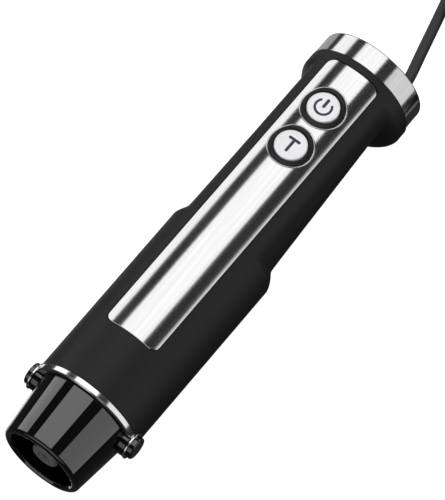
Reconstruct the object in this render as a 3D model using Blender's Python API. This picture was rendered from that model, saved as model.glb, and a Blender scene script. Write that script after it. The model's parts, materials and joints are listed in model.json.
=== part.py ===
"""Motor unit of a hand blender, lying on its back: nose at -Y, cord at +Y, front panel up (+Z).

Stations along the body are counted from the mouth of the nose in millimetres and turned into Y by along().
The origin is on the table, under the middle of the body.
"""

import math

import bpy
import numpy as np

MM = 0.001

# Driving dimensions, in millimetres.
LENGTH = 249.0
RADIUS = 28.0
GAP = 0.3
RING_FROM = 31.0
RING_TO = 34.3
SHOULDER_FROM = 131.0
SHOULDER_TO = 139.6
FLARE_FROM = 220.2
FLARE_TO = 232.0
BAND_FROM = 237.4
BAND_RADIUS = 27.15
PANEL_FROM = 64.75
PANEL_TO = 233.4
PANEL_HALF_WIDTH = 14.5
PANEL_CORNER = 2.8
PANEL_THICKNESS = 0.8
WALL = 2.9
POWER_AT = 208.6
TURBO_AT = 184.0
BEZEL_RADIUS = 10.4
CAP_RADIUS = 7.4
RELEASE_AT = 31.6
STUD_RADIUS = 6.3
RELEASE_CAP_RADIUS = 5.6
RELEASE_REACH = 30.4
EYELET_RADIUS = 6.9
MOUTH_RADIUS = 18.2
COUPLING_RADIUS = 7.0
SHAFT_RADIUS = 3.0
STATOR_FROM = 68.0
STATOR_TO = 102.0
CORD_RADIUS = 2.75
CORD_X = 11.5
CORD_Z = -12.0
WELL_FLOOR = 241.5
RELIEF_END = 259.0
COIL_MEAN_RADIUS = 30.25
COIL_CENTRE = (23.6, 344.6)
TIE_THICKNESS = 0.9
PLUG_X = 59.35
PLUG_FACE = 265.0
PLUG_END = 319.0


def along(station):
    """Y in metres of a station counted in millimetres from the nose's mouth."""
    return (station - LENGTH / 2) * MM


def up(height):
    """Z in metres of a height counted in millimetres from the body's axis."""
    return (RADIUS + height) * MM


# ---------------------------------------------------------------- scene and materials

for old in list(bpy.data.objects):
    bpy.data.objects.remove(old)

root = bpy.data.objects.new("hand_blender_motor_unit", None)
bpy.context.scene.collection.objects.link(root)


def make_material(name, colour, roughness, metallic=0.0):
    material = bpy.data.materials.new(name)
    material.use_nodes = True
    shader = material.node_tree.nodes["Principled BSDF"]
    shader.inputs["Base Color"].default_value = (*colour, 1.0)
    shader.inputs["Roughness"].default_value = roughness
    shader.inputs["Metallic"].default_value = metallic
    return material


SOFT_BLACK = make_material("soft_touch_black", (0.013, 0.013, 0.014), 0.55)
GLOSS_BLACK = make_material("gloss_black", (0.008, 0.008, 0.009), 0.12)
STEEL = make_material("brushed_steel", (0.62, 0.62, 0.62), 0.3, 1.0)
CHROME = make_material("chrome", (0.75, 0.75, 0.76), 0.08, 1.0)
SILVER = make_material("silver_plastic", (0.5, 0.5, 0.52), 0.35, 0.6)
GREY = make_material("grey_nylon", (0.09, 0.09, 0.1), 0.5)
PLASTIC = make_material("chassis_plastic", (0.35, 0.35, 0.33), 0.5)
RUBBER = make_material("rubber", (0.02, 0.02, 0.02), 0.7)
COPPER = make_material("copper", (0.6, 0.25, 0.1), 0.35, 1.0)
IRON = make_material("laminated_iron", (0.2, 0.2, 0.21), 0.5, 1.0)
BOARD = make_material("circuit_board", (0.03, 0.16, 0.06), 0.5)
CARBON = make_material("carbon", (0.02, 0.02, 0.02), 0.8)
BRASS = make_material("brass", (0.6, 0.45, 0.15), 0.3, 1.0)


# ---------------------------------------------------------------- ways of making a solid

def solid(name, points, faces, material, helper=False):
    """A closed mesh from points in metres, its faces turned outwards."""
    mesh = bpy.data.meshes.new(name)
    mesh.from_pydata([tuple(point) for point in points], [], [tuple(face) for face in faces])
    mesh.update()
    corners = np.array([mesh.vertices[i].co for i in range(len(mesh.vertices))])
    mesh.calc_loop_triangles()
    triangles = np.array([triangle.vertices for triangle in mesh.loop_triangles])
    if np.linalg.det(corners[triangles]).sum() < 0:
        mesh.flip_normals()
    mesh.materials.append(material)
    mesh.shade_smooth()
    mesh.set_sharp_from_angle(angle=math.radians(35))
    made = bpy.data.objects.new(name, mesh)
    bpy.context.scene.collection.objects.link(made)
    made.parent = root
    if helper:
        made.hide_render = True
        made.display_type = "WIRE"
    return made


def placed(points, direction, centre):
    """Points (side, side, along) in millimetres turned so that the third runs along direction, then moved."""
    a, b, c = np.asarray(points, float).T
    turned_to = {"Y": (a, c, b), "Z": (a, b, c), "X": (c, a, b)}[direction]
    return np.stack(turned_to, axis=1) * MM + np.array(centre)


def turned(name, profile, material, direction="Y", centre=None, segments=32, helper=False):
    """A turned solid: profile is a closed loop of (distance along, radius), going round the axis."""
    centre = (0, along(0), up(0)) if centre is None else centre
    angles = np.arange(segments) * 2 * math.pi / segments
    points, rows, faces = [], [], []
    for distance, radius in profile:
        first = len(points)
        if radius == 0:
            points.append((0, 0, distance))
            rows.append([first] * segments)
        else:
            points += [(radius * math.sin(t), radius * math.cos(t), distance) for t in angles]
            rows.append(list(range(first, first + segments)))
    for row, following in zip(rows, rows[1:] + rows[:1]):
        for i in range(segments):
            j = (i + 1) % segments
            corners = list(dict.fromkeys((row[i], row[j], following[j], following[i])))
            if len(corners) > 2:
                faces.append(corners)
    return solid(name, placed(points, direction, centre), faces, material, helper)


def prism(name, outline, low, high, material, direction="Z", centre=(0, 0, 0), helper=False):
    """An outline in the plane across direction, carried from low to high along it."""
    count = len(outline)
    points = [(a, b, low) for a, b in outline] + [(a, b, high) for a, b in outline]
    sides = [(i, (i + 1) % count, count + (i + 1) % count, count + i) for i in range(count)]
    faces = [tuple(range(count))[::-1], tuple(range(count, 2 * count))] + sides
    return solid(name, placed(points, direction, centre), faces, material, helper)


def block(name, low, high, material, helper=False):
    """A block between two corners given as (x, station, height above the axis)."""
    (x0, t0, z0), (x1, t1, z1) = low, high
    outline = [(x0, t0), (x1, t0), (x1, t1), (x0, t1)]
    return prism(name, outline, z0, z1, material, "Z", (0, along(0), up(0)), helper)


def rounded(half_x, low, high, corner, steps=4):
    """Outline of a rectangle with round corners, from -half_x to half_x and from low to high."""
    outline = []
    for cx, cy, start in (
        (half_x - corner, high - corner, 0),
        (corner - half_x, high - corner, 90),
        (corner - half_x, low + corner, 180),
        (half_x - corner, low + corner, 270),
    ):
        for step in range(steps + 1):
            angle = math.radians(start + 90 * step / steps)
            outline.append((cx + corner * math.cos(angle), cy + corner * math.sin(angle)))
    return outline


def boolean(target, operation, tool):
    modifier = target.modifiers.new(tool.name, "BOOLEAN")
    modifier.operation = operation
    modifier.solver = "EXACT"
    modifier.object = tool


def rod(name, radius, low, high, material, direction, centre, segments=32, helper=False):
    profile = [(low, 0), (low, radius), (high, radius), (high, 0)]
    return turned(name, profile, material, direction, centre, segments, helper)


def at(x, station, height):
    return (x * MM, along(station), up(height))


# ---------------------------------------------------------------- main housing

def grip_section(angles, station):
    """Radius of the body's section: the front keeps the round of the panel, sides and back are scooped.

    The scooped section is an ellipse that shrinks and moves forward towards the top of the grip.
    """
    share = np.clip((station - 141) / (218 - 141), 0, 1)
    half_width = 24.1 + (22.2 - 24.1) * share
    forward = 3.1 + (8.8 - 3.1) * share
    half_depth = 28.0 - forward
    sine, cosine = np.sin(angles) / half_width, np.cos(angles) / half_depth
    weight = cosine**2 + sine**2
    shift = forward / half_depth
    ellipse = (cosine * shift + np.sqrt(weight - (sine * shift) ** 2)) / weight
    blend = np.clip((np.degrees(np.abs(angles)) - 33) / 27, 0, 1)
    blend = blend * blend * (3 - 2 * blend)
    return RADIUS + (ellipse - RADIUS) * blend


def outer_radius(angles, station):
    """The scooped section, or the shoulder or the flare where one of them stands further out."""
    fall = np.clip((station - SHOULDER_FROM) / (SHOULDER_TO - SHOULDER_FROM), 0, 3)
    shoulder = RADIUS - 4.9 * fall**1.6
    rise = np.clip((station - FLARE_FROM) / (FLARE_TO - FLARE_FROM), 0, 1)
    flare = 17.0 + 11.0 * (1 - (1 - rise) ** 1.8) if station > FLARE_FROM else 0
    return np.maximum(grip_section(angles, station), np.maximum(shoulder, flare))


def make_housing():
    segments = 40
    angles = np.arange(segments) * 2 * math.pi / segments
    angles = np.where(angles > math.pi, angles - 2 * math.pi, angles)
    outside = [RING_TO + GAP, 60, 100, 131, 134, 136.5, 139.6, 165, 190, 219.5]
    outside += [222.2, 225.1, 228.2, 232, BAND_FROM - GAP]
    inside = [station for station in outside if station not in (134, 222.2, 228.2)]
    rows = [(station, outer_radius(angles, station)) for station in outside]
    rows += [(station, outer_radius(angles, station) - WALL) for station in reversed(inside)]
    points, faces = [], []
    for station, radii in rows:
        points += [(r * math.sin(a), r * math.cos(a), station) for r, a in zip(radii, angles)]
    for k in range(len(rows)):
        row, following = k * segments, (k + 1) % len(rows) * segments
        for i in range(segments):
            j = (i + 1) % segments
            faces.append((row + i, row + j, following + j, following + i))
    made = solid("main_housing", placed(points, "Y", at(0, 0, 0)), faces, SOFT_BLACK)

    recess = panel_plate("panel_recess", GAP, RADIUS - PANEL_THICKNESS - GAP, RADIUS + 3, True)
    boolean(made, "DIFFERENCE", recess)
    for station in (POWER_AT, TURBO_AT):
        hole = rod(f"housing_hole_{station:.0f}", BEZEL_RADIUS + GAP, 10, 32, PLASTIC, "Z",
                   at(0, station, 0), 32, True)
        boolean(made, "DIFFERENCE", hole)
    for side in (-1, 1):
        low, high = sorted((side * 20, side * 32))
        notch = rod(f"housing_notch_{side}", EYELET_RADIUS + GAP, low, high, PLASTIC, "X",
                    at(0, RELEASE_AT, 0), 32, True)
        boolean(made, "DIFFERENCE", notch)
    return made


def panel_plate(name, margin, inner, outer, helper):
    """A curved plate: the panel's outline, grown by margin, cut out of a tube."""
    profile = [(PANEL_FROM - 5, inner), (PANEL_FROM - 5, outer), (PANEL_TO + 5, outer), (PANEL_TO + 5, inner)]
    material = PLASTIC if helper else STEEL
    plate = turned(name, profile, material, segments=72, helper=helper)
    outline = rounded(PANEL_HALF_WIDTH + margin, PANEL_FROM - margin, PANEL_TO + margin, PANEL_CORNER + margin)
    window = prism(f"{name}_outline", outline, 10, 40, PLASTIC, "Z", at(0, 0, 0), True)
    boolean(plate, "INTERSECT", window)
    return plate


def make_panel():
    panel = panel_plate("front_panel", 0, RADIUS - PANEL_THICKNESS, RADIUS, False)
    for station in (POWER_AT, TURBO_AT):
        hole = rod(f"panel_hole_{station:.0f}", BEZEL_RADIUS + GAP, 10, 32, PLASTIC, "Z",
                   at(0, station, 0), 32, True)
        boolean(panel, "DIFFERENCE", hole)


# ---------------------------------------------------------------- nose, ring and release buttons

def make_nose():
    """A tapered cone with an open mouth, a bulkhead across it, a guide tube and a neck into the housing."""
    profile = [
        (0.0, 19.6), (0.3, 20.6), (1.6, 21.35), (RING_FROM - GAP, 24.35), (RING_FROM, 24.4), (48, 24.4),
        (48, 21.4), (25, 21.4), (25, 9.6), (38, 9.6), (38, 8.2), (22, 8.2), (22, 17.4),
        (3.0, MOUTH_RADIUS), (0.8, 18.9),
    ]
    nose = turned("nose_collar", profile, GLOSS_BLACK, segments=32)
    for side in (-1, 1):
        low, high = sorted((side * 13, side * 30))
        bore = rod(f"stud_bore_{side}", STUD_RADIUS + GAP, low, high, PLASTIC, "X",
                   at(0, RELEASE_AT, 0), 32, True)
        boolean(nose, "DIFFERENCE", bore)


def make_ring():
    ring = turned("chrome_ring", [
        (RING_FROM, 24.7), (RING_FROM, 27.7), (RING_FROM + GAP, RADIUS), (RING_TO - GAP, RADIUS),
        (RING_TO, 27.7), (RING_TO, 24.7),
    ], CHROME, segments=40)
    for side in (-1, 1):
        low, high = sorted((side * 25.7, side * 28.3))
        eyelet = rod(f"eyelet_{side}", EYELET_RADIUS, low, high, CHROME, "X", at(0, RELEASE_AT, 0), 32, True)
        boolean(ring, "UNION", eyelet)
        low, high = sorted((side * 15, side * 35))
        hole = rod(f"eyelet_hole_{side}", RELEASE_CAP_RADIUS + GAP, low, high, CHROME, "X",
                   at(0, RELEASE_AT, 0), 32, True)
        boolean(ring, "DIFFERENCE", hole)
        low, high = sorted((side * 15, side * 25.7))
        relief = rod(f"stud_relief_{side}", STUD_RADIUS + GAP, low, high, CHROME, "X",
                     at(0, RELEASE_AT, 0), 32, True)
        boolean(ring, "DIFFERENCE", relief)


def make_release_button(name, spring_name, side):
    """A cap that passes through the eyelet, with the wider latch stud behind it and a pocket for its spring."""
    profile = [
        (19.0, 0), (19.0, 4.4), (17.0, 4.4), (17.0, STUD_RADIUS), (25.4, STUD_RADIUS),
        (25.4, RELEASE_CAP_RADIUS), (29.7, RELEASE_CAP_RADIUS), (30.2, 5.0), (RELEASE_REACH, 3.6),
        (RELEASE_REACH, 0),
    ]
    turned(name, [(side * x, r) for x, r in profile], GLOSS_BLACK, "X", at(0, RELEASE_AT, 0), 20)
    spring(spring_name, (side * 9.9, side * 18.7), 3.4, 0.5, 4, "X", at(0, RELEASE_AT, 0))


def spring(name, span, radius, wire, turns, direction, centre):
    """A round wire carried along a helix."""
    around, per_turn = 4, 9
    count = turns * per_turn + 1
    wound = np.linspace(0, 2 * math.pi * turns, count)
    low, high = min(span) + wire, max(span) - wire
    distance = np.linspace(low, high, count)
    points = []
    for angle, height in zip(wound, distance):
        for step in range(around):
            swing = 2 * math.pi * step / around
            reach = radius + wire * math.cos(swing)
            points.append((reach * math.cos(angle), reach * math.sin(angle), height + wire * math.sin(swing)))
    faces = [tuple(range(around))[::-1], tuple(range((count - 1) * around, count * around))]
    for k in range(count - 1):
        for i in range(around):
            j = (i + 1) % around
            faces.append((k * around + i, k * around + j, (k + 1) * around + j, (k + 1) * around + i))
    solid(name, placed(points, direction, centre), faces, STEEL)


# ---------------------------------------------------------------- front buttons

def make_front_button(name, station):
    """A silver cap on a stem, a black bezel round it that follows the housing's round, and a spring."""
    cap = [
        (15.2, 0), (15.2, 2.0), (24.6, 2.0), (24.6, 6.6), (24.0, 6.6), (24.0, CAP_RADIUS),
        (28.2, CAP_RADIUS), (28.6, 6.9), (28.75, 4.0), (28.8, 0),
    ]
    turned(f"{name}_button", cap, SILVER, "Z", at(0, station, 0), 24)
    bezel = turned(f"{name}_button_bezel", [
        (22.0, CAP_RADIUS + GAP), (22.0, BEZEL_RADIUS), (31, BEZEL_RADIUS), (31, CAP_RADIUS + GAP),
    ], GLOSS_BLACK, "Z", at(0, station, 0), 32)
    cover = rod(f"{name}_bezel_top", RADIUS + 0.5, station - 15, station + 15, GLOSS_BLACK, "Y",
                at(0, 0, 0), 48, True)
    boolean(bezel, "INTERSECT", cover)
    spring(f"{name}_button_spring", (17.9, 24.3), 4.6, 0.45, 3, "Z", at(0, station, 0))


# ---------------------------------------------------------------- drive line

def make_drive():
    coupling = turned("drive_coupling", [
        (3.5, 0), (3.5, 3.0), (2.7, 3.4), (2.7, 6.1), (3.2, 6.7), (4.4, COUPLING_RADIUS),
        (24.0, COUPLING_RADIUS), (24.0, SHAFT_RADIUS + 0.05), (9.3, SHAFT_RADIUS + 0.05), (9.3, 0),
    ], GREY, segments=24)
    reach, width = 2.6, 0.6
    cross = [(-reach, -width), (-width, -width), (-width, -reach), (width, -reach), (width, -width), (reach, -width),
             (reach, width), (width, width), (width, reach), (-width, reach), (-width, width), (-reach, width)]
    boolean(coupling, "DIFFERENCE", prism("coupling_slot", cross, 1, 6, GREY, "Y", at(0, 0, 0), True))
    turned("motor_shaft", [(9.6, 0), (9.6, SHAFT_RADIUS - GAP / 2), (126.5, SHAFT_RADIUS - GAP / 2), (126.5, 0)],
           STEEL, segments=20)
    bore = SHAFT_RADIUS + GAP / 2

    blades, hub = 7, 5.5
    fan = turned("cooling_fan", [(41.0, bore), (41.0, hub), (42.6, hub), (42.6, 18.0), (43.6, 18.0),
                                 (43.6, hub), (47.2, hub), (47.2, bore)], PLASTIC, segments=20)
    for k in range(blades):
        angle = 2 * math.pi * k / blades
        direction = np.array((math.cos(angle), math.sin(angle)))
        across = np.array((-direction[1], direction[0])) * 0.5
        ends = (direction * 7.5, direction * 17.4 + across * 6)
        outline = [ends[0] - across, ends[1] - across, ends[1] + across, ends[0] + across]
        blade = prism(f"fan_blade_{k}", outline, 43.0, 47.2, PLASTIC, "Y", at(0, 0, 0), True)
        boolean(fan, "UNION", blade)

    slots, core = 12, 12.6
    outline = []
    for k in range(slots):
        for share, radius in ((0.0, core), (0.32, core), (0.64, core), (0.66, 9.4), (0.98, 9.4)):
            angle = 2 * math.pi * (k + share) / slots
            outline.append((radius * math.cos(angle), radius * math.sin(angle)))
    core_body = prism("armature_core", outline, STATOR_FROM, STATOR_TO, IRON, "Y", at(0, 0, 0))
    boolean(core_body, "DIFFERENCE",
            rod("core_bore", bore, STATOR_FROM - 5, STATOR_TO + 5, IRON, "Y", at(0, 0, 0), 20, True))
    turned("lower_armature_winding", [(62.4, 6.0), (62.0, 8.6), (64.0, 11.6), (67.7, 11.8), (67.7, bore),
                                      (64.4, bore)], COPPER, segments=20)
    turned("upper_armature_winding", [(102.3, 11.8), (106.0, 11.6), (108.0, 8.0), (108.4, bore),
                                      (102.3, bore)], COPPER, segments=20)
    turned("commutator", [(109.6, 9.0), (111.0, 9.0), (111.0, 8.0), (118.5, 8.0), (118.5, bore), (109.6, bore)],
           COPPER, segments=20)


# ---------------------------------------------------------------- motor that stays still

def polar(radius, degrees):
    return (radius * math.sin(math.radians(degrees)), radius * math.cos(math.radians(degrees)))


def make_stator():
    bore, slot, outer = 13.2, 18.0, 21.5
    core = turned("stator_core", [(STATOR_FROM, slot), (STATOR_FROM, outer), (STATOR_TO, outer), (STATOR_TO, slot)],
                  IRON, segments=28)
    for k, middle in enumerate((0, 180)):
        arc = [middle - 48 + 12 * i for i in range(9)]
        outline = [polar(bore, a) for a in arc] + [polar(slot + 1, a) for a in reversed(arc)]
        pole = prism(f"pole_{k}", outline, STATOR_FROM, STATOR_TO, IRON, "Y", at(0, 0, 0), True)
        boolean(core, "UNION", pole)
    for name, middle in (("front_field_coil", 0), ("rear_field_coil", 180)):
        field_coil(name, middle, 14.2, 17.6)


def field_coil(name, middle, low, high):
    """A flat racetrack coil wrapped round the bore: its long sides lie in the slots, its ends beyond the core."""
    def track(half_angle, start, stop):
        arc = np.linspace(-half_angle, half_angle, 9)
        return [(a, start) for a in arc] + [(a, stop) for a in arc[::-1]]

    outer = track(87, 62.5, 107.5)
    inner = track(50, STATOR_FROM - GAP, STATOR_TO + GAP)
    count = len(outer)
    points = []
    for radius in (low, high):
        for loop in (outer, inner):
            points += [(*polar(radius, middle + a), station) for a, station in loop]
    faces = []
    for i in range(count):
        j = (i + 1) % count
        corners = [k * count for k in range(4)]
        low_out, low_in, high_out, high_in = corners
        faces.append((low_out + i, low_out + j, low_in + j, low_in + i))
        faces.append((high_in + i, high_in + j, high_out + j, high_out + i))
        faces.append((high_out + i, high_out + j, low_out + j, low_out + i))
        faces.append((low_in + i, low_in + j, high_in + j, high_in + i))
    solid(name, placed(points, "Y", at(0, 0, 0)), faces, COPPER)


def make_motor_mounts():
    turned("lower_damper", [(48.3, 20.0), (48.3, 24.2), (50.3, 24.2), (50.3, 20.0)], RUBBER, segments=20)
    lower = turned("lower_motor_bracket", [
        (50.6, 9.1), (50.6, 24.0), (59.0, 24.0), (59.0, 18.4), (53.0, 18.4), (53.0, 11.2), (58.4, 11.2),
        (58.4, 9.1),
    ], PLASTIC, segments=20)
    turned("lower_bearing", [(51.6, SHAFT_RADIUS + 0.15), (51.6, 8.8), (57.6, 8.8), (57.6, SHAFT_RADIUS + 0.15)],
           STEEL, segments=16)
    upper = turned("upper_motor_bracket", [
        (109.0, 18.4), (109.0, 23.0), (124.8, 23.0), (124.8, 6.9), (119.4, 6.9), (119.4, 9.3), (122.4, 9.3),
        (122.4, 18.4),
    ], PLASTIC, segments=20)
    turned("upper_bearing", [(119.6, SHAFT_RADIUS + 0.15), (119.6, 6.6), (124.6, 6.6),
                             (124.6, SHAFT_RADIUS + 0.15)], STEEL, segments=20)
    turned("upper_damper", [(117.0, 23.3), (117.0, 24.7), (121.0, 24.7), (121.0, 23.3)], RUBBER, segments=20)
    for k, (x, z) in enumerate(((19.6, 0), (-19.6, 0))):
        name = f"motor_screw_{'right' if x > 0 else 'left'}"
        turned(name, [(54.0, 0), (54.0, 1.0), (107.0, 1.0), (125.1, 1.0), (125.1, 1.9), (126.6, 1.9), (126.6, 0)],
               STEEL, "Y", at(x, 0, z), 10)
        clearance = rod(f"screw_way_{k}", 1.3, 52, 130, STEEL, "Y", at(x, 0, z), 12, True)
        boolean(lower, "DIFFERENCE", clearance)
        boolean(upper, "DIFFERENCE", clearance)
        boolean(bpy.data.objects["stator_core"], "DIFFERENCE", clearance)
    for name, side in (("left", -1), ("right", 1)):
        low, high = sorted((side * 8.3, side * 14.5))
        block(f"{name}_carbon_brush", (low, 112.6, -2.0), (high, 116.6, 2.0), CARBON)
        low, high = sorted((side * 10.5, side * 17.8))
        holder = block(f"{name}_brush_holder", (low, 111.4, -3.2), (high, 117.8, 3.2), BRASS)
        low, high = sorted((side * 5, side * 16.2))
        way = block(f"{name}_brush_way", (low, 112.3, -2.3), (high, 116.9, 2.3), BRASS, True)
        boolean(holder, "DIFFERENCE", way)


# ---------------------------------------------------------------- chassis and electronics

def make_chassis():
    frame = block("carrier_frame", (-13.6, 140, 4.0), (13.6, 228, 15.7), PLASTIC)
    boolean(frame, "DIFFERENCE", block("frame_trough", (-11.6, 142, 6.0), (11.6, 240, 20), PLASTIC, True))
    carrier = block("button_carrier", (-13.4, 170, 16.0), (13.4, 222, 17.6), PLASTIC)
    block("circuit_board", (-11.2, 144, 7.4), (11.2, 227, 9.0), BOARD)
    for name, station in (("power", POWER_AT), ("turbo", TURBO_AT)):
        boolean(carrier, "DIFFERENCE", rod(f"{name}_stem_way", 2.4, 10, 20, PLASTIC, "Z", at(0, station, 0),
                                           16, True))
        switch = block(f"{name}_switch", (-4.0, station - 4, 9.3), (4.0, station + 4, 12.4), PLASTIC)
        plunger = rod(f"{name}_plunger", 1.6, 11, 13.6, PLASTIC, "Z", at(0, station, 0), 14, True)
        boolean(switch, "UNION", plunger)
    block("suppression_capacitor", (-7.5, 146, 9.3), (7.5, 164, 15.4), BRASS)
    heatsink = block("triac_heatsink", (-10, 168, 9.3), (10, 172, 15.4), STEEL)
    for x in (-6, 0, 6):
        boolean(heatsink, "DIFFERENCE", block(f"heatsink_slot_{x}", (x - 1.5, 165, 11.5), (x + 1.5, 175, 20),
                                              STEEL, True))


# ---------------------------------------------------------------- top, cord and plug

def make_top():
    turned("top_band", [
        (BAND_FROM, 26.2), (BAND_FROM, BAND_RADIUS), (LENGTH - 0.9, BAND_RADIUS), (LENGTH, BAND_RADIUS - 0.9),
        (LENGTH, 26.0), (LENGTH - 1.4, 25.5), (LENGTH - 1.4, 26.2),
    ], STEEL, segments=40)
    cap = turned("top_cap", [
        (232.6, 22.3), (232.6, 24.4), (237.4, 24.4), (237.4, 25.8), (246.6, 25.8), (246.6, 25.2),
        (248.2, 24.6), (248.8, 0), (239.6, 0), (239.6, 22.3),
    ], GLOSS_BLACK, segments=32)
    well = rod("cord_well", 8.0, WELL_FLOOR, 260, PLASTIC, "Y", at(CORD_X, 0, CORD_Z), 24, True)
    boolean(cap, "DIFFERENCE", well)
    way = rod("cord_way", 4.6, 230, 260, PLASTIC, "Y", at(CORD_X, 0, CORD_Z), 20, True)
    boolean(cap, "DIFFERENCE", way)
    bore = CORD_RADIUS + GAP
    turned("strain_relief", [
        (236.4, bore), (236.4, 5.2), (239.3, 5.2), (239.3, 4.3), (247.0, 4.3), (RELIEF_END, 3.6),
        (RELIEF_END, bore),
    ], RUBBER, "Y", at(CORD_X, 0, CORD_Z), 16)
    clamp = block("cord_clamp", (CORD_X - 9.5, 230.0, CORD_Z + 4.0), (CORD_X + 6.3, 234.6, CORD_Z + 6.2), PLASTIC)
    for k, x in enumerate((CORD_X - 7.2, CORD_X + 4.1)):
        turned(f"cord_clamp_screw_{k + 1}", [(0, 0), (0, 0.9), (6.3, 0.9), (6.3, 1.7), (7.4, 1.7), (7.4, 0)],
               STEEL, "Z", at(x, 232.3, CORD_Z), 10)
        boolean(clamp, "DIFFERENCE", rod(f"clamp_way_{k}", 1.2, -6, 10, PLASTIC, "Z", at(x, 232.3, CORD_Z),
                                         12, True))


def smooth_line(points, spacing):
    """A smooth curve through points (a Catmull-Rom spline), read at even distances."""
    points = np.array(points, float)
    ends = np.vstack((2 * points[0] - points[1], points, 2 * points[-1] - points[-2]))
    t = np.linspace(0, 1, 24, endpoint=False)[:, None]
    pieces = []
    for a, b, c, d in zip(ends, ends[1:], ends[2:], ends[3:]):
        pieces.append(0.5 * (2 * b + (c - a) * t + (2 * a - 5 * b + 4 * c - d) * t**2
                             + (3 * b - a - 3 * c + d) * t**3))
    line = np.vstack(pieces + [points[-1:]])
    run = np.concatenate(([0], np.cumsum(np.linalg.norm(np.diff(line, axis=0), axis=1))))
    wanted = np.linspace(0, run[-1], max(int(run[-1] / spacing) + 1, 3))
    return np.stack([np.interp(wanted, run, line[:, k]) for k in range(3)], axis=1)


def tube(name, points, radius, material, resolution=2, spacing=9.0):
    """A cord: a curve with a round bevel and filled caps. Points are (x, station, height above the axis)."""
    line = smooth_line(points, spacing)
    data = bpy.data.curves.new(name, "CURVE")
    data.dimensions = "3D"
    data.bevel_depth = radius * MM
    data.bevel_resolution = resolution
    data.use_fill_caps = True
    spline = data.splines.new("POLY")
    spline.points.add(len(line) - 1)
    for point, (x, station, height) in zip(spline.points, line):
        point.co = (*at(x, station, height), 1)
    data.materials.append(material)
    made = bpy.data.objects.new(name, data)
    bpy.context.scene.collection.objects.link(made)
    made.parent = root


def make_cord():
    table = CORD_RADIUS - RADIUS
    tube("cord_tail", [(CORD_X, 240.8, CORD_Z), (CORD_X, 236, CORD_Z), (CORD_X, 230, CORD_Z - 0.1), (10.0, 225, -8.0),
                       (7, 218, -1.0), (4.5, 210, 0.7), (3, 200, 0.8)], CORD_RADIUS, RUBBER)
    tube("power_cord", [
        (CORD_X, WELL_FLOOR, CORD_Z), (CORD_X, 250, CORD_Z), (CORD_X, RELIEF_END, CORD_Z),
        (10.5, 265, -12.5), (8.8, 271, -13.9), (6.7, 278, -15.8), (4.2, 286.5, -18.3),
        (1.7, 295, -20.9), (-0.8, 303.5, table + 2.1), (-3.4, 312.8, table + 0.4),
    ], CORD_RADIUS, RUBBER)

    coil_foot = TIE_THICKNESS + GAP - RADIUS
    half_width, height = 1.5 * 2 * CORD_RADIUS, 2 * 2 * CORD_RADIUS
    inner, outer = COIL_MEAN_RADIUS - half_width, COIL_MEAN_RADIUS + half_width
    low, high = coil_foot, coil_foot + height
    centre_x, centre_station = COIL_CENTRE
    turned("cord_coil", [(low, inner), (low, outer), (high, outer), (high, inner)], RUBBER, "Z",
           at(centre_x, centre_station, 0), 40)
    tie_low, tie_high = COIL_MEAN_RADIUS - half_width - 0.5, COIL_MEAN_RADIUS + half_width + 0.5
    tie = block("cord_tie", (centre_x - 4, centre_station + tie_low - 1, -RADIUS),
                (centre_x + 4, centre_station + tie_high + 1, high + GAP + 1), RUBBER)
    boolean(tie, "DIFFERENCE", block("tie_way", (centre_x - 9, centre_station + tie_low, low - GAP),
                                     (centre_x + 9, centre_station + tie_high, high + GAP), RUBBER, True))


def make_plug():
    """A moulded two-pin plug lying flat: a squarish face that narrows back into a round neck."""
    face, axis_height, neck_radius = PLUG_FACE, 12.8 - RADIUS, 5.4
    sections = [
        (0.0, 17.0, 12.0, 0.5), (0.9, 17.8, 12.8, 0.5), (20.0, 17.8, 12.8, 0.5), (28.0, 15.6, 11.2, 0.6),
        (34.0, 11.0, 8.4, 0.8), (37.0, neck_radius + 1.4, neck_radius + 1.2, 0.95),
        (39.0, neck_radius, neck_radius, 1.0), (PLUG_END - face, 3.8, 3.8, 1.0),
    ]
    segments = 32
    angles = (np.arange(segments) + 0.5) * 2 * math.pi / segments
    cosine, sine = np.cos(angles), np.sin(angles)
    points, faces = [], []
    for distance, half_width, half_height, power in sections:
        side = half_width * np.sign(cosine) * np.abs(cosine) ** power
        height = half_height * np.sign(sine) * np.abs(sine) ** power
        points += [(a, b, face + distance) for a, b in zip(side, height)]
    for k in range(len(sections) - 1):
        for i in range(segments):
            j = (i + 1) % segments
            faces.append([k * segments + i, k * segments + j, (k + 1) * segments + j, (k + 1) * segments + i])
    faces.append(list(range(segments))[::-1])
    faces.append(list(range((len(sections) - 1) * segments, len(sections) * segments)))
    solid("plug_body", placed(points, "Y", at(PLUG_X, 0, axis_height)), faces, GLOSS_BLACK)
    for name, side in (("left", -1), ("right", 1)):
        centre = at(PLUG_X + side * 9.5, 0, axis_height)
        turned(f"plug_pin_{name}", [(face - 19, 0), (face - 19, 1.6), (face - 18, 2.4), (face - GAP, 2.4),
                                    (face - GAP, 0)], STEEL, "Y", centre, 16)
    leaves_coil = COIL_CENTRE[1] - 20.8
    tube("plug_lead", [(PLUG_X, leaves_coil, axis_height - 1.6), (PLUG_X, 321.9, axis_height - 1.0),
                       (PLUG_X, PLUG_END + 4 * GAP, axis_height - 0.6)], CORD_RADIUS, RUBBER, spacing=1.2)


make_housing()
make_panel()
make_nose()
make_ring()
make_release_button("release_button_left", "release_spring_left", -1)
make_release_button("release_button_right", "release_spring_right", 1)
make_front_button("power", POWER_AT)
make_front_button("turbo", TURBO_AT)
make_drive()
make_stator()
make_motor_mounts()
make_chassis()
make_top()
make_cord()
make_plug()
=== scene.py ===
"""Motor unit of a hand blender, lying on its back beside its coiled cord.

A place on the body is given as (x, station, height) in millimetres: x to the right, station counted from the
mouth of the nose towards the cord, height above the body's long axis. An angle round the body starts at the
front panel's middle and grows to the right.
"""
import json
import math

import bmesh
import bpy
import numpy as np
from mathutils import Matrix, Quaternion, Vector

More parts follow.
